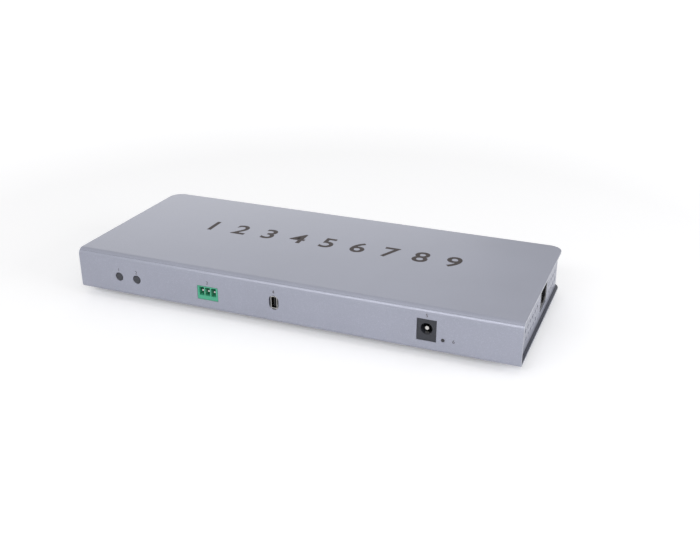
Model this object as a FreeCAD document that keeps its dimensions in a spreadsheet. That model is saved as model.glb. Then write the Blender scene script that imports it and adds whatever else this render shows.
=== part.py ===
import FreeCAD, Part
import Sketcher
import os

# Nine-input video multiviewer in a flat case of two bent sheets.
# Millimetres. X runs along the case, Y from the control side to the socket side, Z up.
# The origin is on the table, under the middle of the case.

sizes = {
    "case_length": 270.0,
    "case_depth": 110.0,
    "case_height": 25.0,
    "shell_sheet": 1.2,
    "wrap_sheet": 1.0,
    "top_bend": 4.0,
    "sill_bend": 2.2,
    "plate_corner": 8.0,
    "wrap_corner": 5.0,
    "end_inset": 1.9,
    "rear_inset": 1.0,
    "seat_slack": 0.1,
    "tab_reach": 9.0,
    "end_tab_length": 76.0,
    "rear_tab_length": 18.0,
    "rear_screw_inset": 40.0,
    "end_screw_y": 30.0,
    "tab_screw_reach": 4.6,
    "foot_height": 5.0,
    "foot_radius": 6.5,
    "foot_taper": 0.9,
    "foot_inset_x": 30.0,
    "foot_inset_y": 18.0,
    "screw_radius": 1.5,
    "screw_slack": 0.1,
    "screw_head_radius": 2.6,
    "screw_head_height": 1.5,
    "screw_length": 3.6,
    "board_lift": 5.9,
    "board_sheet": 1.6,
    "board_end_gap": 2.3,
    "board_front_gap": 3.5,
    "board_rear_gap": 1.2,
    "post_radius": 2.75,
    "post_inset": 11.8,
    "post_front_inset": 15.5,
    "post_rear_inset": 21.8,
    "last_input_inset": 55.9,
    "first_socket_inset": 30.9,
    "output_inset": 29.5,
    "socket_width": 15.1,
    "socket_sill": 10.6,
    "socket_height": 6.0,
    "socket_side": 3.3,
    "socket_sheet": 0.4,
    "socket_depth": 11.5,
    "socket_proud": 0.3,
    "socket_slack": 0.6,
    "tongue_width": 11.0,
    "tongue_sheet": 1.2,
    "tongue_level": 3.2,
    "tongue_recess": 1.0,
    "insulator_depth": 3.0,
    "insulator_slack": 0.05,
    "light_radius": 0.9,
    "light_slack": 0.15,
    "light_width": 2.6,
    "light_height": 3.0,
    "light_depth": 2.4,
    "port_light_drop": 1.5,
    "power_light_depth": 3.0,
    "power_light_inset": 41.8,
    "power_light_level": 7.8,
    "button_inset": 27.7,
    "button_pitch": 12.2,
    "button_level": 11.0,
    "button_radius": 2.3,
    "button_slack": 0.35,
    "button_recess": 0.1,
    "button_length": 4.8,
    "collar_radius": 3.3,
    "collar_sheet": 0.8,
    "collar_slack": 0.1,
    "button_play": 0.5,
    "stem_radius": 1.7,
    "stem_length": 2.0,
    "tact_width": 6.2,
    "tact_depth": 3.6,
    "header_inset": 87.8,
    "header_level": 10.4,
    "header_width": 13.1,
    "header_height": 8.2,
    "header_depth": 10.0,
    "face_depth": 3.0,
    "face_recess": 0.1,
    "face_slack": 0.2,
    "pole_pitch": 3.81,
    "pole_width": 3.1,
    "pole_height": 5.2,
    "pole_depth": 7.5,
    "pin_width": 1.0,
    "pin_length": 6.0,
    "service_x": -5.0,
    "service_level": 12.1,
    "service_hole_width": 6.0,
    "service_hole_height": 8.7,
    "service_width": 4.0,
    "service_height": 7.4,
    "service_sheet": 0.35,
    "service_depth": 8.5,
    "service_recess": 0.5,
    "service_tongue": 0.9,
    "service_tongue_height": 5.0,
    "service_base": 2.0,
    "inlet_inset": 50.9,
    "inlet_level": 12.15,
    "inlet_width": 10.5,
    "inlet_height": 12.3,
    "inlet_depth": 14.0,
    "inlet_bore": 3.3,
    "inlet_bore_level": 13.0,
    "inlet_bore_depth": 10.0,
    "inlet_pin": 1.05,
    "inlet_pin_recess": 1.0,
    "leaf_width": 2.0,
    "leaf_sheet": 0.3,
    "leaf_drop": 3.05,
    "jack_y": 8.6,
    "jack_width": 16.0,
    "jack_height": 11.6,
    "jack_depth": 15.0,
    "jack_sheet": 0.3,
    "jack_slack": 0.05,
    "jack_window": 18.0,
    "jack_window_sill": 5.4,
    "jack_window_height": 14.2,
    "mouth_width": 11.8,
    "mouth_height": 7.6,
    "mouth_depth": 11.0,
    "mouth_rise": 1.0,
    "latch_width": 6.0,
    "latch_height": 1.6,
    "vent_radius": 1.25,
    "vent_pitch": 6.2,
    "vent_low": 7.9,
    "vent_high": 13.8,
    "vent_inset_high": 15.0,
    "vent_inset_low": 18.0,
    "vent_rear_high": 24.0,
    "vent_rear_low": 26.5,
    "plain_inset_high": 10.0,
    "plain_inset_low": 13.0,
    "chip_width": 23.0,
    "chip_height": 1.8,
    "pad_height": 0.6,
    "sink_width": 44.0,
    "sink_base": 2.0,
    "fin_height": 6.0,
    "fin_sheet": 1.3,
    "receiver_width": 8.0,
    "receiver_height": 1.1,
    "receiver_inset": 18.8,
    "memory_width": 8.0,
    "memory_length": 12.0,
    "memory_gap": 18.0,
    "capacitor_radius": 3.2,
    "capacitor_height": 7.7,
    "capacitor_inset": 59.0,
    "capacitor_y": -26.0,
    "capacitor_pitch": 9.0,
    "choke_width": 7.0,
    "choke_height": 4.0,
    "choke_inset": 75.0,
    "choke_pitch": 12.0,
    "memory_spread": 12.0,
}

inputs = 9
poles = 3
fins = 10
capacitors = 4
chokes = 3

doc = FreeCAD.newDocument("multiviewer")
sheet = doc.addObject("Spreadsheet::Sheet", "Sizes")
for row, (alias, number) in enumerate(sizes.items(), start=1):
    sheet.set(f"A{row}", alias)
    sheet.set(f"B{row}", str(number))
    sheet.setAlias(f"B{row}", alias)
doc.recompute()


class Size:
    """A length that carries its own spreadsheet formula beside its number."""

    def __init__(self, formula, number):
        self.formula = formula
        self.number = number

    @staticmethod
    def of(thing):
        return thing if isinstance(thing, Size) else Size(repr(float(thing)), float(thing))

    def __add__(self, other):
        other = Size.of(other)
        return Size(f"({self.formula} + {other.formula})", self.number + other.number)

    def __sub__(self, other):
        other = Size.of(other)
        return Size(f"({self.formula} - {other.formula})", self.number - other.number)

    def __mul__(self, other):
        other = Size.of(other)
        return Size(f"({self.formula} * {other.formula})", self.number * other.number)

    def __truediv__(self, other):
        other = Size.of(other)
        return Size(f"({self.formula} / {other.formula})", self.number / other.number)

    def __neg__(self):
        return Size(f"(0 - {self.formula})", -self.number)


def size(alias):
    return Size(f"Sizes.{alias}", sizes[alias])


def bind(thing, path, length):
    thing.setExpression(path, Size.of(length).formula)


def place(thing, corner):
    for axis, length in zip("xyz", corner):
        bind(thing, f"Placement.Base.{axis}", length)


# Plain blocks and rods, and what is made from them

def block(name, corner, extent):
    made = doc.addObject("Part::Box", name)
    for side, length in zip(("Length", "Width", "Height"), extent):
        bind(made, side, length)
    place(made, corner)
    return made


turns = {
    "+x": FreeCAD.Rotation(FreeCAD.Vector(0, 1, 0), 90),
    "+y": FreeCAD.Rotation(FreeCAD.Vector(1, 0, 0), -90),
    "+z": FreeCAD.Rotation(),
}


def rod(name, start, radius, length, along="+z"):
    made = doc.addObject("Part::Cylinder", name)
    bind(made, "Radius", radius)
    bind(made, "Height", length)
    made.Placement = FreeCAD.Placement(FreeCAD.Vector(), turns[along])
    place(made, start)
    return made


def joined(name, pieces):
    made = doc.addObject("Part::MultiFuse", name)
    made.Shapes = pieces
    return made


def gathered(name, pieces):
    made = doc.addObject("Part::Compound", name)
    made.Links = pieces
    return made


def carved(name, base, tools):
    made = doc.addObject("Part::Cut", name)
    made.Base = base
    made.Tool = tools[0] if len(tools) == 1 else joined(name + "_tools", tools)
    return made


# Padded bodies

def outline(body, name, role, loops, lift):
    sketch = body.newObject("Sketcher::SketchObject", name)
    support = next(f for f in body.Origin.OriginFeatures if f.Role == role)
    sketch.AttachmentSupport = [(support, "")]
    sketch.MapMode = "FlatFace"
    bind(sketch, ".AttachmentOffset.Base.z", lift)
    first = 0
    for loop in loops:
        corners = [(Size.of(u), Size.of(v)) for u, v in loop]
        ends = [FreeCAD.Vector(u.number, v.number, 0) for u, v in corners]
        count = len(ends)
        for k in range(count):
            sketch.addGeometry(Part.LineSegment(ends[k], ends[(k + 1) % count]), False)
        for k, corner in enumerate(corners):
            after = first + (k + 1) % count
            sketch.addConstraint(Sketcher.Constraint("Coincident", first + k, 2, after, 1))
            for kind, length in zip(("DistanceX", "DistanceY"), corner):
                reach = Sketcher.Constraint(kind, -1, 1, first + k, 1, length.number)
                bind(sketch, f"Constraints[{sketch.addConstraint(reach)}]", length)
        first += count
    return sketch


def padded(body, name, role, loops, length, lift=0.0, midplane=False):
    pad = body.newObject("PartDesign::Pad", name)
    pad.Profile = outline(body, name + "_outline", role, loops, lift)
    bind(pad, "Length", length)
    pad.Midplane = midplane
    doc.recompute()
    return pad


def rounded(body, name, before, radius, wanted):
    made = body.newObject("PartDesign::Fillet", name)
    picked = [f"Edge{k}" for k, e in enumerate(before.Shape.Edges, start=1) if wanted(e.BoundBox)]
    made.Base = (before, picked)
    bind(made, "Radius", radius)
    doc.recompute()
    return made


def near(one, other):
    return abs(one - other.number) < 0.001


# Levels and lines shared by several pieces

half_length = size("case_length") / 2
half_depth = size("case_depth") / 2
floor = size("foot_height")
roof = floor + size("case_height")
shell_floor = floor + size("shell_sheet")
shell_roof = roof - size("shell_sheet")
front_face = -half_depth
front_back = front_face + size("shell_sheet")
end_face = half_length - size("end_inset")
end_back = end_face - size("wrap_sheet")
rear_face = half_depth - size("rear_inset")
rear_back = rear_face - size("wrap_sheet")
wrap_floor = shell_floor + size("seat_slack")
wrap_roof = shell_roof - size("seat_slack")
board_floor = floor + size("board_lift")
board_top = board_floor + size("board_sheet")
board_front = front_face + size("board_front_gap")
board_rear = rear_back - size("board_rear_gap")
board_end = end_back - size("board_end_gap")
foot_x = half_length - size("foot_inset_x")
foot_y = half_depth - size("foot_inset_y")
rear_screw_x = half_length - size("rear_screw_inset")
post_x = board_end - size("post_inset")
post_front_y = board_front + size("post_front_inset")
post_rear_y = board_rear - size("post_rear_inset")
receiver_y = board_rear - size("receiver_inset")
button_x = -half_length + size("button_inset")
header_x = -half_length + size("header_inset")
inlet_x = half_length - size("inlet_inset")
power_light_x = half_length - size("power_light_inset")
capacitor_x = half_length - size("capacitor_inset")
choke_x = half_length - size("choke_inset")
memory_x = choke_x - size("memory_gap")
first_socket_x = -half_length + size("first_socket_inset")
last_input_x = half_length - size("last_input_inset")
socket_pitch = (last_input_x - first_socket_x) / (inputs - 1)
output_x = half_length - size("output_inset")
socket_places = [
    first_socket_x + socket_pitch * k for k in range(inputs)
] + [output_x]

nodes = {}


def keep(label, thing):
    thing.Label = label
    nodes[label] = thing
    return thing


# Fasteners: their places are used by the sheets and by the board

post_places = [
    (x, y)
    for x in (-post_x, Size.of(0), post_x)
    for y in (post_front_y, post_rear_y)
]
end_screw_x = end_back - size("tab_screw_reach")
rear_screw_y = rear_back - size("tab_screw_reach")
case_screw_places = [
    (x, y) for x in (-end_screw_x, end_screw_x) for y in (-size("end_screw_y"), size("end_screw_y"))
] + [(x, rear_screw_y) for x in (-rear_screw_x, rear_screw_x)]
screw_hole = size("screw_radius") + size("screw_slack")

# Main shell: top, front and floor in one bent sheet

shell_body = doc.addObject("PartDesign::Body", "shell_body")
bend = padded(shell_body, "shell_bend", "YZ_Plane", [[
    (front_face, floor),
    (half_depth, floor),
    (half_depth, shell_floor),
    (front_back, shell_floor),
    (front_back, shell_roof),
    (half_depth, shell_roof),
    (half_depth, roof),
    (front_face, roof),
]], size("case_length"), midplane=True)
bend = rounded(shell_body, "shell_top_outer", bend, size("top_bend"),
               lambda b: b.XLength > 50 and near(b.YMax, front_face) and near(b.ZMin, roof))
bend = rounded(shell_body, "shell_top_inner", bend, size("top_bend") - size("shell_sheet"),
               lambda b: b.XLength > 50 and near(b.YMax, front_back) and near(b.ZMin, shell_roof))
bend = rounded(shell_body, "shell_sill_outer", bend, size("sill_bend"),
               lambda b: b.XLength > 50 and near(b.YMax, front_face) and near(b.ZMax, floor))
bend = rounded(shell_body, "shell_sill_inner", bend, size("sill_bend") - size("shell_sheet"),
               lambda b: b.XLength > 50 and near(b.YMax, front_back) and near(b.ZMax, shell_floor))
bend = rounded(shell_body, "shell_plate_corners", bend, size("plate_corner"),
               lambda b: b.XLength < 0.01 and b.ZLength > 0.5 and near(b.YMin, half_depth))

through = size("shell_sheet") + 2.0
before_front = front_face - 1.0
button_level = floor + size("button_level")
button_hole = size("button_radius") + size("button_slack")
button_places = [button_x, button_x + size("button_pitch")]
header_level = floor + size("header_level")
service_level = floor + size("service_level")
inlet_level = floor + size("inlet_level")
power_light_level = floor + size("power_light_level")
light_hole = size("light_radius") + size("light_slack")


def window(name, x, level, width, height):
    wide = width + size("face_slack") * 2
    tall = height + size("face_slack") * 2
    return block(name, (x - wide / 2, before_front, level - tall / 2), (wide, through, tall))


shell_tools = [
    rod(f"button_hole_{k}", (x, before_front, button_level), button_hole, through, "+y")
    for k, x in enumerate(button_places)
]
shell_tools.append(window("header_window", header_x, header_level,
                          size("header_width"), size("header_height")))
shell_tools.append(window("inlet_window", inlet_x, inlet_level,
                          size("inlet_width"), size("inlet_height")))
service_round = size("service_hole_width") / 2
service_straight = size("service_hole_height") - size("service_hole_width")
shell_tools.append(block("service_slot", (size("service_x") - service_round, before_front,
                                          service_level - service_straight / 2),
                         (size("service_hole_width"), through, service_straight)))
for k, side in enumerate((-1, 1)):
    shell_tools.append(rod(f"service_round_{k}", (size("service_x"), before_front,
                                                  service_level + service_straight / 2 * side),
                           service_round, through, "+y"))
shell_tools.append(rod("power_light_hole", (power_light_x, before_front, power_light_level),
                       light_hole, through, "+y"))
for k, (x, y) in enumerate(case_screw_places):
    shell_tools.append(rod(f"shell_screw_hole_{k}", (x, y, floor - 1.0), screw_hole, through))
keep("main_shell", carved("main_shell_cut", shell_body, shell_tools))

# Rear wrap: socket panel and both end walls in one bent sheet, with tabs on the floor

wrap_body = doc.addObject("PartDesign::Body", "wrap_body")
wrap_front = front_back + size("seat_slack") + size("top_bend") - size("shell_sheet")
fold = padded(wrap_body, "wrap_fold", "XY_Plane", [[
    (-end_face, wrap_front),
    (-end_back, wrap_front),
    (-end_back, rear_back),
    (end_back, rear_back),
    (end_back, wrap_front),
    (end_face, wrap_front),
    (end_face, rear_face),
    (-end_face, rear_face),
]], wrap_roof - wrap_floor, lift=wrap_floor)
fold = rounded(wrap_body, "wrap_outer_corners", fold, size("wrap_corner"),
               lambda b: b.ZLength > 5 and near(b.YMin, rear_face))
fold = rounded(wrap_body, "wrap_inner_corners", fold, size("wrap_corner") - size("wrap_sheet"),
               lambda b: b.ZLength > 5 and near(b.YMin, rear_back))

bite = size("wrap_sheet") / 2
wrap_pieces = [wrap_body]
for k, side in enumerate((-1, 1)):
    left = -end_back - bite if side < 0 else end_back - size("tab_reach")
    wrap_pieces.append(block(f"end_tab_{k}", (left, -(size("end_tab_length") / 2), wrap_floor),
                             (size("tab_reach") + bite, size("end_tab_length"), size("wrap_sheet"))))
    wrap_pieces.append(block(f"rear_tab_{k}", (rear_screw_x * side - size("rear_tab_length") / 2,
                                               rear_back - size("tab_reach"), wrap_floor),
                             (size("rear_tab_length"), size("tab_reach") + bite, size("wrap_sheet"))))


def socket_profile(grow):
    wide = size("socket_width") / 2 + grow
    sill = size("socket_sill") / 2 + grow * 0.6
    shoulder = size("socket_height") - size("socket_side")
    return [
        (-sill, -grow),
        (sill, -grow),
        (wide, shoulder - grow * 0.4),
        (wide, size("socket_height") + grow),
        (-wide, size("socket_height") + grow),
        (-wide, shoulder - grow * 0.4),
    ]


wrap_tools = []
wall_through = size("wrap_sheet") + 2.0
port_light_level = board_floor - size("port_light_drop")
for k, x in enumerate(socket_places):
    hole = doc.addObject("PartDesign::Body", f"socket_hole_{k}")
    place(hole, (x, rear_face + 1.0, board_top))
    padded(hole, f"socket_hole_pad_{k}", "XZ_Plane", [socket_profile(size("socket_slack"))],
           wall_through)
    wrap_tools.append(hole)
    wrap_tools.append(rod(f"port_light_hole_{k}", (x, rear_back - 1.0, port_light_level),
                          light_hole, wall_through, "+y"))
wrap_tools.append(block("jack_window_hole", (end_back - 1.0, size("jack_y") - size("jack_window") / 2,
                                             floor + size("jack_window_sill")),
                        (wall_through, size("jack_window"), size("jack_window_height"))))


def vent_row(name, left, start, level, count):
    return [
        rod(f"{name}_{k}", (left, start + size("vent_pitch") * k, floor + size(level)),
            size("vent_radius"), wall_through, "+x")
        for k in range(count)
    ]


right_wall = end_back - 1.0
left_wall = -end_face - 1.0
wrap_tools += vent_row("vent_front_high", right_wall, front_face + size("vent_inset_high"), "vent_high", 6)
wrap_tools += vent_row("vent_front_low", right_wall, front_face + size("vent_inset_low"), "vent_low", 5)
wrap_tools += vent_row("vent_rear_high", right_wall, size("vent_rear_high"), "vent_high", 4)
wrap_tools += vent_row("vent_rear_low", right_wall, size("vent_rear_low"), "vent_low", 4)
wrap_tools += vent_row("plain_high", left_wall, front_face + size("plain_inset_high"), "vent_high", 14)
wrap_tools += vent_row("plain_low", left_wall, front_face + size("plain_inset_low"), "vent_low", 13)
for k, (x, y) in enumerate(case_screw_places):
    wrap_tools.append(rod(f"tab_screw_hole_{k}", (x, y, wrap_floor - 1.0), screw_hole,
                          size("wrap_sheet") + 2.0))
keep("rear_wrap", carved("rear_wrap_cut", joined("rear_wrap_sheet", wrap_pieces), wrap_tools))

# Feet and case screws

for k, (sx, sy) in enumerate([(-1, -1), (1, -1), (-1, 1), (1, 1)]):
    foot = doc.addObject("Part::Cone", f"foot_{k}")
    bind(foot, "Radius1", size("foot_radius") - size("foot_taper"))
    bind(foot, "Radius2", size("foot_radius"))
    bind(foot, "Height", size("foot_height"))
    place(foot, (foot_x * sx, foot_y * sy, Size.of(0)))
    keep(f"foot_{k + 1}", foot)


def screw(name, x, y, seat, length, pointing_up):
    head_floor = seat - size("screw_head_height") if pointing_up else seat
    shaft_floor = seat if pointing_up else seat - length
    head = rod(name + "_head", (x, y, head_floor), size("screw_head_radius"),
               size("screw_head_height"))
    shaft = rod(name + "_shaft", (x, y, shaft_floor), size("screw_radius"), length)
    return joined(name, [head, shaft])


keep("case_screws", gathered("case_screw_group", [
    screw(f"case_screw_{k}", x, y, floor, size("screw_length"), True)
    for k, (x, y) in enumerate(case_screw_places)
]))

# Main board on its posts

post_height = board_floor - shell_floor
board_tools = []
post_pieces = []
for k, (x, y) in enumerate(post_places):
    board_tools.append(rod(f"board_hole_{k}", (x, y, board_floor - 1.0), screw_hole,
                           size("board_sheet") + 2.0))
    post_pieces.append(carved(f"post_{k}",
                              rod(f"post_rod_{k}", (x, y, shell_floor), size("post_radius"), post_height),
                              [rod(f"post_bore_{k}", (x, y, shell_floor + 1.0), screw_hole, post_height)]))
keep("circuit_board", carved("board", block("board_sheet_block", (-board_end, board_front, board_floor),
                                            (board_end * 2, board_rear - board_front,
                                             size("board_sheet"))), board_tools))
keep("board_posts", gathered("post_group", post_pieces))
keep("board_screws", gathered("board_screw_group", [
    screw(f"board_screw_{k}", x, y, board_top, size("screw_length"), False)
    for k, (x, y) in enumerate(post_places)
]))

# Video sockets along the rear edge

mouth = rear_face + size("socket_proud")
for k, x in enumerate(socket_places):
    role = f"input_{k + 1}" if k < inputs else "output"
    shell = doc.addObject("PartDesign::Body", f"socket_body_{k}")
    place(shell, (x, mouth, board_top))
    padded(shell, f"socket_pad_{k}", "XZ_Plane",
           [socket_profile(Size.of(0)), socket_profile(-size("socket_sheet"))], size("socket_depth"))
    keep(role + "_shell", shell)
    insert = doc.addObject("PartDesign::Body", f"insulator_body_{k}")
    place(insert, (x, mouth, board_top))
    back = size("socket_depth") - size("insulator_depth")
    slim = -(size("socket_sheet") + size("insulator_slack"))
    padded(insert, f"insulator_pad_{k}", "XZ_Plane", [socket_profile(slim)],
           size("insulator_depth"), lift=back)
    tongue_half = size("tongue_width") / 2
    tongue_roof = size("tongue_level") + size("tongue_sheet")
    padded(insert, f"tongue_pad_{k}", "XZ_Plane", [[
        (-tongue_half, size("tongue_level")),
        (tongue_half, size("tongue_level")),
        (tongue_half, tongue_roof),
        (-tongue_half, tongue_roof),
    ]], size("socket_depth") - size("tongue_recess"), lift=size("tongue_recess"))
    keep(role + "_tongue", insert)

# Indicator lights: one under each socket, hung below the board, and one at the front

lights = []
for k, x in enumerate(socket_places):
    seat = block(f"port_light_block_{k}", (x - size("light_width") / 2, board_rear - size("light_depth"),
                                           board_floor - size("light_height")),
                 (size("light_width"), size("light_depth"), size("light_height")))
    lens = rod(f"port_light_lens_{k}", (x, board_rear - 1.0, port_light_level), size("light_radius"),
               rear_face - board_rear + 1.0 - 0.2, "+y")
    lights.append(joined(f"port_light_{k}", [seat, lens]))
keep("port_lights", gathered("port_light_group", lights))

light_left = power_light_x - size("light_width") / 2
keep("power_light", joined("power_light_fuse", [
    rod("power_light_lens", (power_light_x, front_face + 0.1, power_light_level),
        size("light_radius"), board_front - front_face - 0.5, "+y"),
    block("power_light_face", (light_left, board_front - 1.3, power_light_level - 1.1),
          (size("light_width"), Size.of(1.0), size("light_height"))),
    block("power_light_block", (light_left, board_front - 0.8, board_top),
          (size("light_width"), size("power_light_depth"), power_light_level + 1.9 - board_top)),
]))

# Two push buttons and the switches behind them

for side, x in zip(("left", "right"), button_places):
    cap_front = front_face + size("button_recess")
    cap = rod(f"cap_{side}", (x, cap_front, button_level), size("button_radius"),
              size("button_length"), "+y")
    collar = rod(f"collar_{side}", (x, front_back + size("collar_slack"), button_level),
                 size("collar_radius"), size("collar_sheet"), "+y")
    keep(f"button_{side}", joined(f"button_fuse_{side}", [cap, collar]))
    stem_front = cap_front + size("button_length") + size("button_play")
    tact_front = stem_front + size("stem_length")
    stem = rod(f"stem_{side}", (x, stem_front, button_level), size("stem_radius"),
               size("stem_length") + 0.5, "+y")
    body = block(f"tact_{side}", (x - size("tact_width") / 2, tact_front, board_top),
                 (size("tact_width"), size("tact_depth"), (button_level - board_top) * 2))
    keep(f"switch_{side}", joined(f"switch_fuse_{side}", [stem, body]))

# Three-pole terminal header

face_front = front_face + size("face_recess")
header_left = header_x - size("header_width") / 2
header_roof = header_level + size("header_height") / 2
housing = joined("header_blocks", [
    block("header_face", (header_left, face_front, header_level - size("header_height") / 2),
          (size("header_width"), size("face_depth"), size("header_height"))),
    block("header_back", (header_left, face_front + size("face_depth") - 0.5, board_top),
          (size("header_width"), size("header_depth") - size("face_depth") + 0.5,
           header_roof - board_top)),
])
pole_places = [header_x + size("pole_pitch") * (k - (poles - 1) / 2) for k in range(poles)]
pole_floor = header_roof - 0.6 - size("pole_height")
keep("terminal_housing", carved("header_cut", housing, [
    block(f"bay_{k}", (x - size("pole_width") / 2, face_front - 1.0, pole_floor),
          (size("pole_width"), size("pole_depth") + 1.0, size("pole_height")))
    for k, x in enumerate(pole_places)
]))
pole_back = face_front + size("pole_depth")
keep("terminal_pins", gathered("terminal_pin_group", [
    block(f"pole_pin_{k}", (x - size("pin_width") / 2, pole_back - size("pin_length"),
                            pole_floor + size("pole_height") / 2 - size("pin_width") / 2),
          (size("pin_width"), size("pin_length"), size("pin_width")))
    for k, x in enumerate(pole_places)
]))

# Service port, a small socket standing on its side

service_front = front_face + size("service_recess")
service_left = size("service_x") - size("service_width") / 2
service_floor = service_level - size("service_height") / 2
keep("service_port_shell", carved("service_tube", block(
    "service_outer", (service_left, service_front, service_floor),
    (size("service_width"), size("service_depth"), size("service_height"))), [block(
        "service_inner", (service_left + size("service_sheet"), service_front - 1.0,
                          service_floor + size("service_sheet")),
        (size("service_width") - size("service_sheet") * 2, size("service_depth") + 2.0,
         size("service_height") - size("service_sheet") * 2))]))
service_back = service_front + size("service_depth")
keep("service_port_insert", joined("service_insert", [
    block("service_base_block", (service_left, service_back, board_top),
          (size("service_width"), size("service_base"), service_floor + size("service_height")
           - board_top)),
    block("service_tongue_block", (size("service_x") - size("service_tongue") / 2,
                                   service_front + 1.0,
                                   service_level - size("service_tongue_height") / 2),
          (size("service_tongue"), size("service_depth"), size("service_tongue_height"))),
]))

# Power inlet

inlet_left = inlet_x - size("inlet_width") / 2
inlet_roof = inlet_level + size("inlet_height") / 2
bore_level = floor + size("inlet_bore_level")
bore_back = face_front + size("inlet_bore_depth")
keep("inlet_body", carved("inlet_cut", joined("inlet_blocks", [
    block("inlet_face", (inlet_left, face_front, inlet_level - size("inlet_height") / 2),
          (size("inlet_width"), size("face_depth"), size("inlet_height"))),
    block("inlet_back", (inlet_left + 0.6, face_front + size("face_depth") - 0.5, board_top),
          (size("inlet_width") - 1.2, size("inlet_depth") - size("face_depth") + 0.5,
           inlet_roof - 0.4 - board_top)),
]), [rod("inlet_bore", (inlet_x, face_front - 1.0, bore_level), size("inlet_bore"),
         size("inlet_bore_depth") + 1.0, "+y")]))
keep("inlet_pin", rod("inlet_centre", (inlet_x, face_front + size("inlet_pin_recess"), bore_level),
                      size("inlet_pin"), size("inlet_bore_depth") - size("inlet_pin_recess"), "+y"))
keep("inlet_spring", block("inlet_leaf", (inlet_x - size("leaf_width") / 2, face_front + 2.0,
                                          bore_level - size("leaf_drop")),
                           (size("leaf_width"), size("inlet_bore_depth") - 2.0, size("leaf_sheet"))))

# Shielded modular jack behind the end-wall window

jack_left = end_face - size("jack_depth")
jack_front = size("jack_y") - size("jack_width") / 2
keep("jack_shield", carved("jack_tube", block(
    "jack_outer", (jack_left, jack_front, board_top),
    (size("jack_depth"), size("jack_width"), size("jack_height"))), [block(
        "jack_inner", (jack_left + size("jack_sheet"), jack_front + size("jack_sheet"),
                       board_top + size("jack_sheet")),
        (size("jack_depth"), size("jack_width") - size("jack_sheet") * 2,
         size("jack_height") - size("jack_sheet") * 2))]))
skin = size("jack_sheet") + size("jack_slack")
mouth_floor = board_top + size("jack_sheet") + size("mouth_rise")
keep("jack_insert", carved("jack_insert_cut", block(
    "jack_block", (jack_left + size("jack_sheet"), jack_front + skin, board_top + skin),
    (size("jack_depth") - size("jack_sheet") - 0.2, size("jack_width") - skin * 2,
     size("jack_height") - skin * 2)), [
    block("jack_mouth", (end_face - size("mouth_depth"), size("jack_y") - size("mouth_width") / 2,
                         mouth_floor + size("latch_height")),
          (size("mouth_depth") + 1.0, size("mouth_width"), size("mouth_height"))),
    block("jack_latch", (end_face - size("mouth_depth"), size("jack_y") - size("latch_width") / 2,
                         mouth_floor),
          (size("mouth_depth") + 1.0, size("latch_width"), size("latch_height") + 0.5)),
]))

# Parts on the board


def centred(name, x, y, level, wide, deep, tall):
    return block(name, (x - wide / 2, y - deep / 2, level), (wide, deep, tall))


middle = Size.of(0)
chip_top = board_top + size("chip_height")
pad_top = chip_top + size("pad_height")
keep("main_chip", centred("chip_block", middle, middle, board_top, size("chip_width"),
                          size("chip_width"), size("chip_height")))
keep("thermal_pad", centred("pad_block", middle, middle, chip_top, size("chip_width"),
                            size("chip_width"), size("pad_height")))
fin_gap = (size("sink_width") - size("fin_sheet")) / (fins - 1)
sink_left = -(size("sink_width") / 2)
sink_pieces = [centred("sink_base_block", middle, middle, pad_top, size("sink_width"),
                       size("sink_width"), size("sink_base"))]
for k in range(fins):
    sink_pieces.append(block(f"fin_{k}", (sink_left + fin_gap * k, sink_left, pad_top + size("sink_base") - 0.2),
                             (size("fin_sheet"), size("sink_width"), size("fin_height") + 0.2)))
keep("heat_sink", joined("sink_fuse", sink_pieces))
keep("receiver_chips", gathered("receiver_group", [
    centred(f"receiver_{k}", x, receiver_y, board_top, size("receiver_width"),
            size("receiver_width"), size("receiver_height"))
    for k, x in enumerate(socket_places)
]))
keep("memory_chips", gathered("memory_group", [
    centred(f"memory_{k}", memory_x * sx, size("memory_spread") * sy, board_top,
            size("memory_width"), size("memory_length"), size("receiver_height"))
    for k, (sx, sy) in enumerate([(-1, -1), (-1, 1), (1, -1), (1, 1)])
]))
keep("capacitors", gathered("capacitor_group", [
    rod(f"capacitor_{k}", (capacitor_x, size("capacitor_y") + size("capacitor_pitch") * k,
                           board_top), size("capacitor_radius"), size("capacitor_height"))
    for k in range(capacitors)
]))
keep("chokes", gathered("choke_group", [
    centred(f"choke_{k}", choke_x, size("capacitor_y") + size("choke_pitch") * k, board_top,
            size("choke_width"), size("choke_width"), size("choke_height"))
    for k in range(chokes)
]))

doc.recompute()

for thing in doc.Objects:
    if "Invalid" in thing.State or "Error" in thing.State:
        raise RuntimeError(f"{thing.Label} is not sound: {thing.State}")
for label, thing in nodes.items():
    shape = thing.Shape
    if shape.isNull() or not shape.isValid() or not shape.Solids:
        raise RuntimeError(f"{label} has no valid solid")
    if not all(solid.Volume > 0.01 for solid in shape.Solids):
        raise RuntimeError(f"{label} has an empty solid")

os.makedirs("parts", exist_ok=True)
for label, thing in nodes.items():
    thing.Shape.exportStep(f"parts/{label}.step")
print(len(nodes), "pieces")
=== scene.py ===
import math
import bmesh
import bpy
from mathutils import Matrix, Vector


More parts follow.
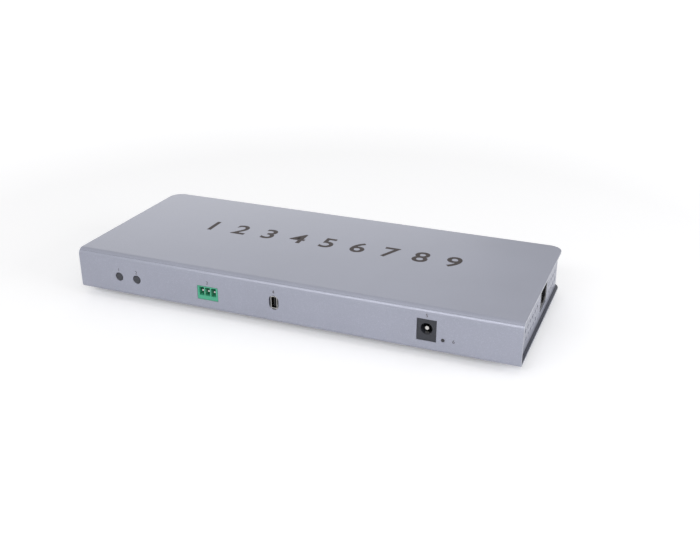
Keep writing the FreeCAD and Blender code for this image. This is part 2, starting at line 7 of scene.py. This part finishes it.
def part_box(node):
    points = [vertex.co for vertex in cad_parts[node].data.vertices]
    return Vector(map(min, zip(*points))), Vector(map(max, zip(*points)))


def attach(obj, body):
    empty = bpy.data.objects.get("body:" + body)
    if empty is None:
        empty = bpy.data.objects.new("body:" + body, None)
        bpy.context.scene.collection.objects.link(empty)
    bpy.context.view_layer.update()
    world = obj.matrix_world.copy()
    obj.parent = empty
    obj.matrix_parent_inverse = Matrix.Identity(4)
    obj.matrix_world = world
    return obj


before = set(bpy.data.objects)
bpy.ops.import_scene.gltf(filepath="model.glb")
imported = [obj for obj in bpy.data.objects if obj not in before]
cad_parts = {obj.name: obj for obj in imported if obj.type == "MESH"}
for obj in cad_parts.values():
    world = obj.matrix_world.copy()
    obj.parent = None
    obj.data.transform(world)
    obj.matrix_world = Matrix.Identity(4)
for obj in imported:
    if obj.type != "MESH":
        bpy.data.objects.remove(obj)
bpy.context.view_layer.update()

mm = 0.001


def cornersOf(node):  # a node's lowest and highest corners, in millimetres
    return [[value / mm for value in corner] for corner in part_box(node)]


shellLow, shellHigh = cornersOf("main_shell")
rearPanel = cornersOf("rear_wrap")[1][1]  # the outer face of the socket panel
socketNames = [f"input_{k}" for k in range(1, 10)] + ["output"]
print("frame loaded")


# short ways to add and link shader nodes
def feed(tree, socket, value):
    if isinstance(value, bpy.types.NodeSocket):
        tree.links.new(value, socket)
    else:
        socket.default_value = value


def addNode(tree, kind, inputs=None, **settings):
    made = tree.nodes.new(kind)
    for name, value in settings.items():
        setattr(made, name, value)
    for name, value in (inputs or {}).items():
        feed(tree, made.inputs[name], value)
    return made


def objectPlace(tree):
    return addNode(tree, "ShaderNodeTexCoord").outputs["Object"]


def noise(tree, place, scale, detail, roughness=0.5):
    return addNode(tree, "ShaderNodeTexNoise", {
        "Vector": place, "Scale": scale, "Detail": detail, "Roughness": roughness}).outputs[0]


def remap(tree, value, fromRange, toRange=(0.0, 1.0)):
    return addNode(tree, "ShaderNodeMapRange", {
        "Value": value, "From Min": fromRange[0], "From Max": fromRange[1],
        "To Min": toRange[0], "To Max": toRange[1]}).outputs[0]


def calc(tree, operation, first, second=0.0, clamp=False):
    return addNode(tree, "ShaderNodeMath", {0: first, 1: second},
                   operation=operation, use_clamp=clamp).outputs[0]


def vectorCalc(tree, operation, inputs, result="Vector"):
    return addNode(tree, "ShaderNodeVectorMath", dict(enumerate(inputs)), operation=operation).outputs[result]


def mixColor(tree, factor, first, second):
    made = addNode(tree, "ShaderNodeMix", data_type="RGBA")
    for index, value in ((0, factor), (6, first), (7, second)):  # factor and the two colour sockets
        feed(tree, made.inputs[index], value)
    return made.outputs[2]


def bump(tree, height, distance, strength, normal=None):
    values = {"Height": height, "Distance": distance, "Strength": strength}
    if normal:
        values["Normal"] = normal
    return addNode(tree, "ShaderNodeBump", values).outputs[0]


# the effects that several finishes share, each a node group built once
floatSocket = "NodeSocketFloat"
colorSocket = "NodeSocketColor"
vectorSocket = "NodeSocketVector"


def newGroup(name, inputs, outputs):
    group = bpy.data.node_groups.new(name, "ShaderNodeTree")
    for label, kind, value in inputs:
        socket = group.interface.new_socket(label, in_out="INPUT", socket_type=kind)
        socket.default_value = value
    for label, kind in outputs:
        group.interface.new_socket(label, in_out="OUTPUT", socket_type=kind)
    return group, group.nodes.new("NodeGroupInput").outputs, group.nodes.new("NodeGroupOutput").inputs


def swungRoughness(group, given, value, middle):  # rougher where the noise is over its middle
    swing = calc(group, "SUBTRACT", value, middle)
    spread = calc(group, "MULTIPLY", swing, given["Roughness Spread"])
    return calc(group, "ADD", given["Roughness"], spread, True)


grainFit = {
    "fleckDetail": 3.0,
    "fleckRoughness": 0.6,
    "fleckRange": (0.52, 0.72),  # of the noise, from bare to a full fleck
    "cloudDetail": 4.0,
    "cloudRange": (0.3, 0.7),
    "cloudTone": (0.965, 1.03),
    "cloudMiddle": 0.5,
}


def buildGrain():  # fine flecks over slow clouds of tone, for paint and moulded plastic
    group, given, result = newGroup("surfaceGrain", [
        ("Color", colorSocket, (0.5, 0.5, 0.5, 1)),
        ("Fleck Color", colorSocket, (0.7, 0.7, 0.7, 1)),
        ("Fleck Amount", floatSocket, 0.3),
        ("Fleck Scale", floatSocket, 3000.0),
        ("Cloud Scale", floatSocket, 30.0),
        ("Roughness", floatSocket, 0.4),
        ("Roughness Spread", floatSocket, 0.1),
    ], [("Color", colorSocket), ("Roughness", floatSocket), ("Height", floatSocket)])
    place = objectPlace(group)
    fine = noise(group, place, given["Fleck Scale"], grainFit["fleckDetail"], grainFit["fleckRoughness"])
    slow = noise(group, place, given["Cloud Scale"], grainFit["cloudDetail"])
    fleck = remap(group, fine, grainFit["fleckRange"])
    fleckFactor = calc(group, "MULTIPLY", fleck, given["Fleck Amount"], True)
    flecked = mixColor(group, fleckFactor, given["Color"], given["Fleck Color"])
    tone = remap(group, slow, grainFit["cloudRange"], grainFit["cloudTone"])
    group.links.new(vectorCalc(group, "MULTIPLY", [flecked, tone]), result["Color"])
    group.links.new(swungRoughness(group, given, slow, grainFit["cloudMiddle"]), result["Roughness"])
    group.links.new(fine, result["Height"])
    return group


brushFit = {
    "lineDetail": 5.0,
    "lineMiddle": 0.4,
    "stainScale": 90.0,
    "stainDetail": 3.0,
    "stainRange": (0.45, 0.75),
}


def buildBrushing():  # long fine scratches along one axis, for plated and drawn metal
    group, given, result = newGroup("brushedLines", [
        ("Color", colorSocket, (0.7, 0.7, 0.7, 1)),
        ("Dull Color", colorSocket, (0.5, 0.5, 0.5, 1)),
        ("Stretch", vectorSocket, (20.0, 1.0, 1.0)),
        ("Scale", floatSocket, 400.0),
        ("Roughness", floatSocket, 0.25),
        ("Roughness Spread", floatSocket, 0.2),
    ], [("Color", colorSocket), ("Roughness", floatSocket), ("Height", floatSocket)])
    place = objectPlace(group)
    drawn = vectorCalc(group, "MULTIPLY", [place, given["Stretch"]])
    line = noise(group, drawn, given["Scale"], brushFit["lineDetail"])
    stain = noise(group, place, brushFit["stainScale"], brushFit["stainDetail"])
    dull = remap(group, stain, brushFit["stainRange"])
    group.links.new(mixColor(group, dull, given["Color"], given["Dull Color"]), result["Color"])
    group.links.new(swungRoughness(group, given, line, brushFit["lineMiddle"]), result["Roughness"])
    group.links.new(line, result["Height"])
    return group


wearFit = {
    "bevelSamples": 4,
    "cornerRange": (0.995, 0.86),  # how far the soft and the sharp normal agree, from flat to corner
    "patchScale": 260.0,
    "patchDetail": 4.0,
    "patchRange": (0.4, 0.62),
}


def buildEdgeWear():  # a mask on outer corners, broken up by noise
    group, given, result = newGroup("edgeWear", [
        ("Radius", floatSocket, 0.0004),
        ("Amount", floatSocket, 0.5),
    ], [("Mask", floatSocket), ("Normal", vectorSocket)])
    soft = addNode(group, "ShaderNodeBevel", {"Radius": given["Radius"]},
                   samples=wearFit["bevelSamples"]).outputs[0]
    sharp = addNode(group, "ShaderNodeNewGeometry").outputs["Normal"]
    agree = vectorCalc(group, "DOT_PRODUCT", [soft, sharp], "Value")
    corner = remap(group, agree, wearFit["cornerRange"])
    patch = noise(group, objectPlace(group), wearFit["patchScale"], wearFit["patchDetail"])
    broken = remap(group, patch, wearFit["patchRange"])
    worn = calc(group, "MULTIPLY", calc(group, "MULTIPLY", corner, broken), given["Amount"], True)
    group.links.new(worn, result["Mask"])
    group.links.new(soft, result["Normal"])
    return group


grainGroup = buildGrain()
brushGroup = buildBrushing()
wearGroup = buildEdgeWear()
print("shared effects built")


# finishes
def newFinish(name, shaderValues):
    material = bpy.data.materials.new(name)
    material.use_nodes = True
    tree = material.node_tree
    shader = tree.nodes["Principled BSDF"]
    for label, value in shaderValues.items():
        shader.inputs[label].default_value = value
    return material, tree, shader


def groupNode(tree, group, values):
    made = tree.nodes.new("ShaderNodeGroup")
    made.node_tree = group
    for label, value in values.items():
        made.inputs[label].default_value = value
    return made.outputs


def linkLook(tree, shader, color, roughness, normal):
    tree.links.new(color, shader.inputs["Base Color"])
    tree.links.new(roughness, shader.inputs["Roughness"])
    tree.links.new(normal, shader.inputs["Normal"])


grainDepth = 0.02 * mm
brushDepth = 0.01 * mm
brushStrength = 0.2


def grainyFinish(name, color, fleck, amount=0.3, scale=2500.0, roughness=0.45, strength=0.25,
                 shaderValues=None):
    material, tree, shader = newFinish(name, shaderValues or {})
    grain = groupNode(tree, grainGroup, {
        "Color": (*color, 1), "Fleck Color": (*fleck, 1), "Fleck Amount": amount, "Fleck Scale": scale,
        "Roughness": roughness, "Roughness Spread": 0.15})
    normal = bump(tree, grain["Height"], grainDepth, strength)
    linkLook(tree, shader, grain["Color"], grain["Roughness"], normal)
    return material


def brushedFinish(name, color, dull, stretch=(1.0, 12.0, 1.0), scale=500.0, roughness=0.22):
    material, tree, shader = newFinish(name, {"Metallic": 1.0})
    lines = groupNode(tree, brushGroup, {
        "Color": (*color, 1), "Dull Color": (*dull, 1), "Stretch": stretch, "Scale": scale,
        "Roughness": roughness, "Roughness Spread": 0.25})
    normal = bump(tree, lines["Height"], brushDepth, brushStrength)
    linkLook(tree, shader, lines["Color"], lines["Roughness"], normal)
    return material


casePaint = {
    "color": (0.385, 0.40, 0.485),
    "fleck": (0.66, 0.68, 0.78),
    "innerShade": (0.075, 0.08, 0.10),  # painted shade: a dark colour for the inner side of the outer sheet, where shade falls inside the case
    "cutEdge": (0.62, 0.64, 0.70),
    "cutEdgeShare": 0.6,
    "fleckAmount": 0.32,
    "fleckScale": 2300.0,
    "cloudScale": 22.0,
    "roughness": 0.36,
    "roughnessSpread": 0.12,
    "metallic": 0.30,
    "coat": 0.4,
    "coatRoughness": 0.2,
    "wearRadius": 0.3 * mm,
    "wearAmount": 0.45,
    "bumpDepth": 0.03 * mm,
    "bumpStrength": 0.3,
    "sheet": 1.2,
    "slip": 0.05,  # keeps the outer faces clear of the painted inner shade
}


def insideMasks(tree):  # masks for where the painted shade goes on the outer sheet's inner side, and for where its cut ends are
    split = addNode(tree, "ShaderNodeSeparateXYZ", {0: objectPlace(tree)}).outputs
    skin = casePaint["sheet"] - casePaint["slip"]
    above = calc(tree, "GREATER_THAN", split["Z"], (shellLow[2] + skin) * mm)
    below = calc(tree, "LESS_THAN", split["Z"], (shellHigh[2] - skin) * mm)
    behind = calc(tree, "GREATER_THAN", split["Y"], (shellLow[1] + skin) * mm)
    within = calc(tree, "LESS_THAN", calc(tree, "ABSOLUTE", split["X"]),
                  (shellHigh[0] - casePaint["slip"]) * mm)
    inner = calc(tree, "MULTIPLY", calc(tree, "MULTIPLY", above, below),
                 calc(tree, "MULTIPLY", behind, within))
    return inner, calc(tree, "SUBTRACT", 1.0, within)


def buildCasePaint(name, paintInnerShadeAndCutEnds):
    material, tree, shader = newFinish(name, {
        "Metallic": casePaint["metallic"], "Coat Weight": casePaint["coat"],
        "Coat Roughness": casePaint["coatRoughness"]})
    grain = groupNode(tree, grainGroup, {
        "Color": (*casePaint["color"], 1), "Fleck Color": (*casePaint["fleck"], 1),
        "Fleck Amount": casePaint["fleckAmount"], "Fleck Scale": casePaint["fleckScale"],
        "Cloud Scale": casePaint["cloudScale"], "Roughness": casePaint["roughness"],
        "Roughness Spread": casePaint["roughnessSpread"]})
    wear = groupNode(tree, wearGroup, {"Radius": casePaint["wearRadius"], "Amount": casePaint["wearAmount"]})
    cutEdge = (*casePaint["cutEdge"], 1)
    color = mixColor(tree, wear["Mask"], grain["Color"], cutEdge)
    # painted shade on the inner side of the outer sheet, then lighter cut ends
    if paintInnerShadeAndCutEnds:
        inner, atEnd = insideMasks(tree)
        color = mixColor(tree, inner, color, (*casePaint["innerShade"], 1))
        color = mixColor(tree, calc(tree, "MULTIPLY", atEnd, casePaint["cutEdgeShare"]), color, cutEdge)
    normal = bump(tree, grain["Height"], casePaint["bumpDepth"], casePaint["bumpStrength"], wear["Normal"])
    linkLook(tree, shader, color, grain["Roughness"], normal)
    return material


boardLook = {
    "color": (0.008, 0.11, 0.055),
    "fleck": (0.03, 0.2, 0.1),
    "copper": (0.03, 0.26, 0.13),  # runs of copper seen through the solder mask
    "fleckAmount": 0.2,
    "roughness": 0.3,
    "coat": 0.4,
    "runScale": 220.0,
    "runWidth": 0.06,
    "padTone": 0.15,
    "copperShare": 0.5,
    "bumpDepth": 0.03 * mm,
    "bumpStrength": 0.3,
}


def buildBoardGreen():
    material, tree, shader = newFinish("boardGreen", {"Coat Weight": boardLook["coat"]})
    grain = groupNode(tree, grainGroup, {
        "Color": (*boardLook["color"], 1), "Fleck Color": (*boardLook["fleck"], 1),
        "Fleck Amount": boardLook["fleckAmount"], "Roughness": boardLook["roughness"]})
    tone = boardLook["padTone"]
    runs = addNode(tree, "ShaderNodeTexBrick", {
        "Vector": objectPlace(tree), "Scale": boardLook["runScale"], "Mortar Size": boardLook["runWidth"],
        "Color1": (0, 0, 0, 1), "Color2": (tone, tone, tone, 1), "Mortar": (1, 1, 1, 1)}).outputs["Color"]
    copperFactor = calc(tree, "MULTIPLY", runs, boardLook["copperShare"])
    color = mixColor(tree, copperFactor, grain["Color"], (*boardLook["copper"], 1))
    normal = bump(tree, runs, boardLook["bumpDepth"], boardLook["bumpStrength"])
    linkLook(tree, shader, color, grain["Roughness"], normal)
    return material


metalLooks = {
    "socketSteel": {"color": (0.78, 0.77, 0.76), "dull": (0.55, 0.54, 0.52)},
    "pinMetal": {"color": (0.86, 0.85, 0.83), "dull": (0.6, 0.58, 0.55), "roughness": 0.15},
    "contactGold": {"color": (0.90, 0.66, 0.30), "dull": (0.6, 0.42, 0.2), "roughness": 0.2},
    "screwSteel": {"color": (0.62, 0.62, 0.64), "dull": (0.35, 0.34, 0.33),
                   "stretch": (1.0, 1.0, 1.0), "scale": 900.0},
    "postBrass": {"color": (0.80, 0.60, 0.28), "dull": (0.5, 0.36, 0.17), "stretch": (1.0, 1.0, 14.0)},
    "sinkAluminium": {"color": (0.80, 0.80, 0.82), "dull": (0.62, 0.62, 0.64), "roughness": 0.35},
}
plasticLooks = {
    "socketBlack": {"color": (0.014, 0.014, 0.016), "fleck": (0.04, 0.04, 0.045), "roughness": 0.5},
    "buttonPlastic": {"color": (0.055, 0.057, 0.07), "fleck": (0.12, 0.12, 0.14),
                      "scale": 4200.0, "roughness": 0.5},
    "switchBlack": {"color": (0.02, 0.02, 0.022), "fleck": (0.06, 0.06, 0.06)},
    "terminalGreen": {"color": (0.07, 0.42, 0.25), "fleck": (0.16, 0.60, 0.40), "roughness": 0.38,
                      "shaderValues": {"Subsurface Weight": 0.05}},
    "inletPlastic": {"color": (0.035, 0.038, 0.048), "fleck": (0.09, 0.09, 0.11), "roughness": 0.42},
    "footRubber": {"color": (0.016, 0.016, 0.017), "fleck": (0.05, 0.05, 0.05),
                   "scale": 1500.0, "roughness": 0.8},
    "padGrey": {"color": (0.25, 0.27, 0.3), "fleck": (0.4, 0.42, 0.45), "scale": 1800.0, "roughness": 0.85},
    "chipBlack": {"color": (0.02, 0.02, 0.022), "fleck": (0.07, 0.07, 0.075),
                  "scale": 3500.0, "roughness": 0.6},
    "lightLens": {"color": (0.02, 0.021, 0.026), "fleck": (0.05, 0.05, 0.06), "amount": 0.1,
                  "roughness": 0.12, "strength": 0.05, "shaderValues": {"Coat Weight": 0.6}},
    "printInk": {"color": (0.045, 0.032, 0.032), "fleck": (0.12, 0.10, 0.11),
                 "scale": 6000.0, "roughness": 0.55},
}
finishes = {
    "shellPaint": buildCasePaint("shellPaint", True),
    "wrapPaint": buildCasePaint("wrapPaint", False),
    "boardGreen": buildBoardGreen(),
}
for finishName, look in metalLooks.items():
    finishes[finishName] = brushedFinish(finishName, **look)
for finishName, look in plasticLooks.items():
    finishes[finishName] = grainyFinish(finishName, **look)

nodesWith = {
    "shellPaint": ["main_shell"],
    "wrapPaint": ["rear_wrap"],
    "boardGreen": ["circuit_board"],
    "socketSteel": ["service_port_shell", "jack_shield"] + [name + "_shell" for name in socketNames],
    "socketBlack": ["service_port_insert", "jack_insert"] + [name + "_tongue" for name in socketNames],
    "lightLens": ["port_lights", "power_light"],
    "buttonPlastic": ["button_left", "button_right"],
    "switchBlack": ["switch_left", "switch_right", "chokes"],
    "terminalGreen": ["terminal_housing"],
    "pinMetal": ["terminal_pins", "inlet_pin", "inlet_spring"],
    "inletPlastic": ["inlet_body"],
    "postBrass": ["board_posts"],
    "screwSteel": ["board_screws", "case_screws"],
    "footRubber": ["foot_1", "foot_2", "foot_3", "foot_4"],
    "chipBlack": ["main_chip", "receiver_chips", "memory_chips"],
    "padGrey": ["thermal_pad"],
    "sinkAluminium": ["heat_sink", "capacitors"],
}
for finishName, nodeNames in nodesWith.items():
    for nodeName in nodeNames:
        for materialSlot in bpy.data.objects[nodeName].material_slots:
            materialSlot.material = finishes[finishName]
print("finishes placed on", sum(len(nodeNames) for nodeNames in nodesWith.values()), "nodes")


# ways to make the small added pieces, which all ride on the case
def placePiece(piece, finishName):
    bpy.context.scene.collection.objects.link(piece)
    piece.data.materials.append(finishes[finishName])
    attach(piece, "case")


def addStrips(name, boxes, finishName, soften=0.0):
    mesh = bpy.data.meshes.new(name)
    shape = bmesh.new()
    for low, high in boxes:
        low, high = Vector(low) * mm, Vector(high) * mm
        middle = Matrix.Translation((low + high) / 2)
        bmesh.ops.create_cube(shape, size=1.0, matrix=middle @ Matrix.Diagonal((*(high - low), 1.0)))
    if soften:
        bmesh.ops.bevel(shape, geom=list(shape.edges), offset=soften * mm, segments=2, profile=0.6,
                        affect="EDGES")
    shape.to_mesh(mesh)
    shape.free()
    placePiece(bpy.data.objects.new(name, mesh), finishName)


def addWires(name, routes, radius, finishName):
    curve = bpy.data.curves.new(name, "CURVE")
    curve.dimensions = "3D"
    curve.bevel_depth = radius * mm
    curve.bevel_resolution = 2
    for route in routes:
        spline = curve.splines.new("POLY")
        spline.points.add(len(route) - 1)
        for point, place in zip(spline.points, route):
            point.co = (*(Vector(place) * mm), 1.0)
    placePiece(bpy.data.objects.new(name, curve), finishName)


def rowPlaces(middle, pitch, count):  # evenly spaced to both sides of a middle
    return [middle + (k - (count - 1) / 2) * pitch for k in range(count)]


socketFit = {
    "tongueLevel": 3.2,  # over the bottom of the metal shell
    "tongueSheet": 1.2,
    "shellSheet": 0.4,
    "contactCount": 10,  # under the tongue, and one fewer on top of it
    "contactPitch": 1.0,
    "contactWidth": 0.42,
    "contactSheet": 0.07,
    "contactLength": 6.5,
    "contactRecess": 1.5,  # behind the mouth, as the fronts and backs below
    "leafOffset": 2.7,
    "leafWidth": 1.5,
    "leafSheet": 0.25,
    "leafFront": 0.3,
    "leafBack": 4.1,
    "bumpShare": 0.8,  # of the leaf's width
    "bumpFront": 1.2,
    "bumpBack": 3.1,
    "bumpFoot": 0.2,
    "bumpTop": 0.7,
}
contactBoxes, leafBoxes = [], []
for name in socketNames:
    socketLow, socketHigh = cornersOf(name + "_shell")
    middle = (socketLow[0] + socketHigh[0]) / 2
    mouth = socketHigh[1]
    front = mouth - socketFit["contactRecess"]
    back = front - socketFit["contactLength"]
    half = socketFit["contactWidth"] / 2
    sheet = socketFit["contactSheet"]
    underTongue = socketLow[2] + socketFit["tongueLevel"]
    overTongue = underTongue + socketFit["tongueSheet"]
    count = socketFit["contactCount"]
    for level, number in ((underTongue - sheet, count), (overTongue, count - 1)):
        for x in rowPlaces(middle, socketFit["contactPitch"], number):
            contactBoxes.append(((x - half, back, level), (x + half, front, level + sheet)))
    sill = socketLow[2] + socketFit["shellSheet"]
    for x in (middle - socketFit["leafOffset"], middle + socketFit["leafOffset"]):
        wide = socketFit["leafWidth"] / 2
        leafBoxes.append(((x - wide, mouth - socketFit["leafBack"], sill),
                          (x + wide, mouth - socketFit["leafFront"], sill + socketFit["leafSheet"])))
        wide = wide * socketFit["bumpShare"]
        leafBoxes.append(((x - wide, mouth - socketFit["bumpBack"], sill + socketFit["bumpFoot"]),
                          (x + wide, mouth - socketFit["bumpFront"], sill + socketFit["bumpTop"])))
addStrips("socket_contacts", contactBoxes, "contactGold")
addStrips("socket_spring_leaves", leafBoxes, "socketSteel", soften=0.1)

serviceFit = {
    "tongueHalf": 0.45,
    "middleDrop": 3.7,  # from the insert's top to the middle of its tongue
    "contactFront": 0.3,  # behind the insert's front, as the back
    "contactBack": 6.5,
    "contactSheet": 0.08,
    "contactWidth": 0.4,
    "contactPitch": 0.85,
    "contactCount": 5,
}
serviceLow, serviceHigh = cornersOf("service_port_insert")
tongueFace = (serviceLow[0] + serviceHigh[0]) / 2 - serviceFit["tongueHalf"]
half = serviceFit["contactWidth"] / 2
addStrips("service_contacts", [
    ((tongueFace - serviceFit["contactSheet"], serviceLow[1] + serviceFit["contactFront"], z - half),
     (tongueFace, serviceLow[1] + serviceFit["contactBack"], z + half))
    for z in rowPlaces(serviceHigh[2] - serviceFit["middleDrop"], serviceFit["contactPitch"],
                       serviceFit["contactCount"])
], "contactGold")

jackFit = {
    "route": [(2.4, 9.75), (5.4, 9.45), (9.9, 6.05), (10.5, 5.95)],  # behind the mouth, over the floor
    "wirePitch": 1.02,
    "wireCount": 8,
    "wireRadius": 0.2,
}
jackLow, jackHigh = cornersOf("jack_insert")
addWires("jack_contacts", [
    [(jackHigh[0] - depth, y, jackLow[2] + height) for depth, height in jackFit["route"]]
    for y in rowPlaces((jackLow[1] + jackHigh[1]) / 2, jackFit["wirePitch"], jackFit["wireCount"])
], jackFit["wireRadius"], "contactGold")

screwFit = {
    "endPlace": (127.5, 30.0),
    "rearPlace": (95.0, 48.4),
    "crossReach": 1.5,
    "crossHalf": 0.28,
    "below": 0.03,  # the painted shade of the cross recess reaches this far below the screw's head
    "above": 0.02,
}
headFloor = cornersOf("case_screws")[0][2]
endX, endY = screwFit["endPlace"]
rearX, rearY = screwFit["rearPlace"]
screwPlaces = [(x, y) for x in (-endX, endX) for y in (-endY, endY)] + [(-rearX, rearY), (rearX, rearY)]
crossArms = [(screwFit["crossReach"], screwFit["crossHalf"]), (screwFit["crossHalf"], screwFit["crossReach"])]
# black crosses on the screw heads: painted shade standing in for the cross recesses
addStrips("screw_cross_shade", [
    ((x - armX, y - armY, headFloor - screwFit["below"]), (x + armX, y + armY, headFloor + screwFit["above"]))
    for x, y in screwPlaces
    for armX, armY in crossArms
], "socketBlack")
print("contacts, springs and screw recesses built")


# print on the case: plain numerals, a bracket line and an arrow
printFit = {
    "inkSheet": 0.012,
    "sizePerHeight": 1.38,  # the built-in letters stand about 0.72 of their size
    "topCount": 9,
    "topSpan": (-78.0, 80.0),
    "topBase": 0.5,
    "topHeight": 14.5,
    "topWeight": 0.35,  # added all round the letter's own outline
    "smallHeight": 2.1,
    "frontPlaces": [(-107.3, 20.4), (-95.1, 20.4), (-47.2, 21.9), (-5.0, 23.6), (84.1, 25.6), (99.0, 13.0)],
    "rearPlaces": [(0.4, 25.7), (-20.5, 25.7), (105.5, 21.7)],
    "lineHalf": 0.17,
    "bracketSpan": (-105.6, 78.2),
    "bracketLevel": 22.75,
    "bracketFoot": 20.6,
    "arrowSpan": (-13.8, -6.1),
    "arrowLevel": 25.7,
    "headPieces": 6,  # short strips, each taller than the one before, make the arrow's head
    "headPieceLength": 0.4,
    "headPieceStep": 0.3,
    "headTipHalf": 0.15,
    "headSpread": 0.13,
}
flat = (0, 0, 0)
frontward = (math.pi / 2, 0, 0)
rearward = (math.pi / 2, 0, math.pi)


def addNumeral(name, number, place, turn, height, weight=0.0):
    curve = bpy.data.curves.new(name, "FONT")
    curve.body = str(number)
    curve.align_x = "CENTER"
    curve.align_y = "CENTER"
    curve.size = height * printFit["sizePerHeight"] * mm
    curve.extrude = printFit["inkSheet"] * mm
    curve.offset = weight * mm
    piece = bpy.data.objects.new(name, curve)
    piece.location = Vector(place) * mm
    piece.rotation_euler = turn
    placePiece(piece, "printInk")


firstX, lastX = printFit["topSpan"]
topMiddle = printFit["topBase"] + printFit["topHeight"] / 2
for k in range(printFit["topCount"]):
    x = firstX + (lastX - firstX) * k / (printFit["topCount"] - 1)
    addNumeral(f"top_numeral_{k + 1}", k + 1, (x, topMiddle, shellHigh[2]), flat, printFit["topHeight"],
               printFit["topWeight"])
for k, (x, z) in enumerate(printFit["frontPlaces"]):
    addNumeral(f"front_numeral_{k + 1}", k + 1, (x, shellLow[1], z), frontward, printFit["smallHeight"])
for k, (x, z) in enumerate(printFit["rearPlaces"]):
    addNumeral(f"rear_numeral_{k + 1}", k + 1, (x, rearPanel, z), rearward, printFit["smallHeight"])

thin = printFit["lineHalf"]
left, right = printFit["bracketSpan"]
level, foot = printFit["bracketLevel"], printFit["bracketFoot"]
tail, head = printFit["arrowSpan"]
arrowLevel = printFit["arrowLevel"]
lineSpans = [
    (left - thin, right + thin, level - thin, level + thin),
    (left - thin, left + thin, foot, level),
    (right - thin, right + thin, foot, level),
    (tail, head, arrowLevel - thin, arrowLevel + thin),
]
for k in range(printFit["headPieces"]):
    tip = head - k * printFit["headPieceStep"]
    half = printFit["headTipHalf"] + k * printFit["headSpread"]
    lineSpans.append((tip - printFit["headPieceLength"], tip, arrowLevel - half, arrowLevel + half))
inkBack, inkFace = rearPanel - printFit["inkSheet"], rearPanel + printFit["inkSheet"]
addStrips("rear_print_lines", [
    ((startX, inkBack, startZ), (endX, inkFace, endZ)) for startX, endX, startZ, endZ in lineSpans
], "printInk")
print("print placed")


# floor, world and lamps, in metres
stageFit = {
    "floorHalf": 4.0,
    "floorColor": (0.90, 0.90, 0.91, 1),
    "floorRoughness": 0.9,
    "floorGlow": (0.26, 0.6),  # as the camera sees the floor, near and far
    "fadeSpan": (0.3, 0.75),
    "ambient": 0.52,
    "glossy": 0.42,  # under the ambient level, so gloss sees the world at that level
}
reach = stageFit["floorHalf"]
floorMesh = bpy.data.meshes.new("studioFloor")
floorMesh.from_pydata([(-reach, -reach, 0), (reach, -reach, 0), (reach, reach, 0), (-reach, reach, 0)], [],
                      [(0, 1, 2, 3)])
studioFloor = bpy.data.objects.new("studioFloor", floorMesh)
bpy.context.scene.collection.objects.link(studioFloor)
floorFinish, floorTree, floorShader = newFinish("floorFinish", {
    "Base Color": stageFit["floorColor"], "Roughness": stageFit["floorRoughness"],
    "Emission Color": (1, 1, 1, 1)})
away = vectorCalc(floorTree, "LENGTH", [objectPlace(floorTree)], "Value")
glow = remap(floorTree, away, stageFit["fadeSpan"], stageFit["floorGlow"])
toCamera = addNode(floorTree, "ShaderNodeLightPath").outputs["Is Camera Ray"]
floorTree.links.new(calc(floorTree, "MULTIPLY", toCamera, glow), floorShader.inputs["Emission Strength"])
floorMesh.materials.append(floorFinish)

world = bpy.data.worlds.new("studioWorld")
world.use_nodes = True
bpy.context.scene.world = world
worldTree = world.node_tree
path = addNode(worldTree, "ShaderNodeLightPath").outputs
seen = calc(worldTree, "MAXIMUM", path["Is Camera Ray"], path["Is Transmission Ray"])
gloss = calc(worldTree, "MULTIPLY", path["Is Glossy Ray"], stageFit["glossy"])
strength = calc(worldTree, "MAXIMUM", calc(worldTree, "MAXIMUM", seen, gloss), stageFit["ambient"])
background = worldTree.nodes["Background"]
background.inputs["Color"].default_value = (1, 1, 1, 1)
worldTree.links.new(strength, background.inputs["Strength"])

lamps = {  # place, aim, width, height, watts
    "overheadLamp": ((0.05, -0.3, 1.2), (0, 0, 0.02), 1.0, 0.5, 0.5),
    "frontLamp": ((0.1, -1.05, 0.80), (0, 0, 0.02), 1.7, 0.34, 7.0),
    "sideLamp": ((1.1, -0.1, 0.35), (0.1, 0, 0.01), 0.7, 0.5, 4.0),
    "rearLamp": ((-0.6, 1.1, 0.3), (0, 0, 0.01), 0.9, 0.4, 1.0),
}
for lampName, (place, aim, wide, tall, watts) in lamps.items():
    light = bpy.data.lights.new(lampName, "AREA")
    light.shape = "RECTANGLE"
    light.size, light.size_y, light.energy = wide, tall, watts
    lamp = bpy.data.objects.new(lampName, light)
    lamp.location = place
    lamp.rotation_euler = (Vector(aim) - Vector(place)).to_track_quat("-Z", "Y").to_euler()
    bpy.context.scene.collection.objects.link(lamp)

cameraFit = {
    "place": (206.6, -464.3, 239.1),
    "turn": 22.03,
    "dip": 24.09,
    "roll": -0.10,
    "focal": 914.0,  # in pixels of a frame of the width below
    "frameWidth": 700,
    "sensorWidth": 36.0,
    "clipStart": 0.01,
}
turn, dip, roll = (math.radians(cameraFit[key]) for key in ("turn", "dip", "roll"))
ahead = Vector((-math.sin(turn) * math.cos(dip), math.cos(turn) * math.cos(dip), -math.sin(dip)))
across = ahead.cross(Vector((0, 0, 1))).normalized()
upward = across.cross(ahead)
across, upward = (across * math.cos(roll) + upward * math.sin(roll),
                  upward * math.cos(roll) - across * math.sin(roll))
cameraData = bpy.data.cameras.new("studioCamera")
cameraData.sensor_width = cameraFit["sensorWidth"]
cameraData.lens = cameraFit["focal"] / cameraFit["frameWidth"] * cameraFit["sensorWidth"]
cameraData.clip_start = cameraFit["clipStart"]
camera = bpy.data.objects.new("studioCamera", cameraData)
camera.matrix_world = Matrix.Translation(Vector(cameraFit["place"]) * mm) @ Matrix(
    (across, upward, -ahead)).transposed().to_4x4()
bpy.context.scene.collection.objects.link(camera)
bpy.context.scene.camera = camera
bpy.context.scene.view_settings.view_transform = "Standard"
print("stage set")
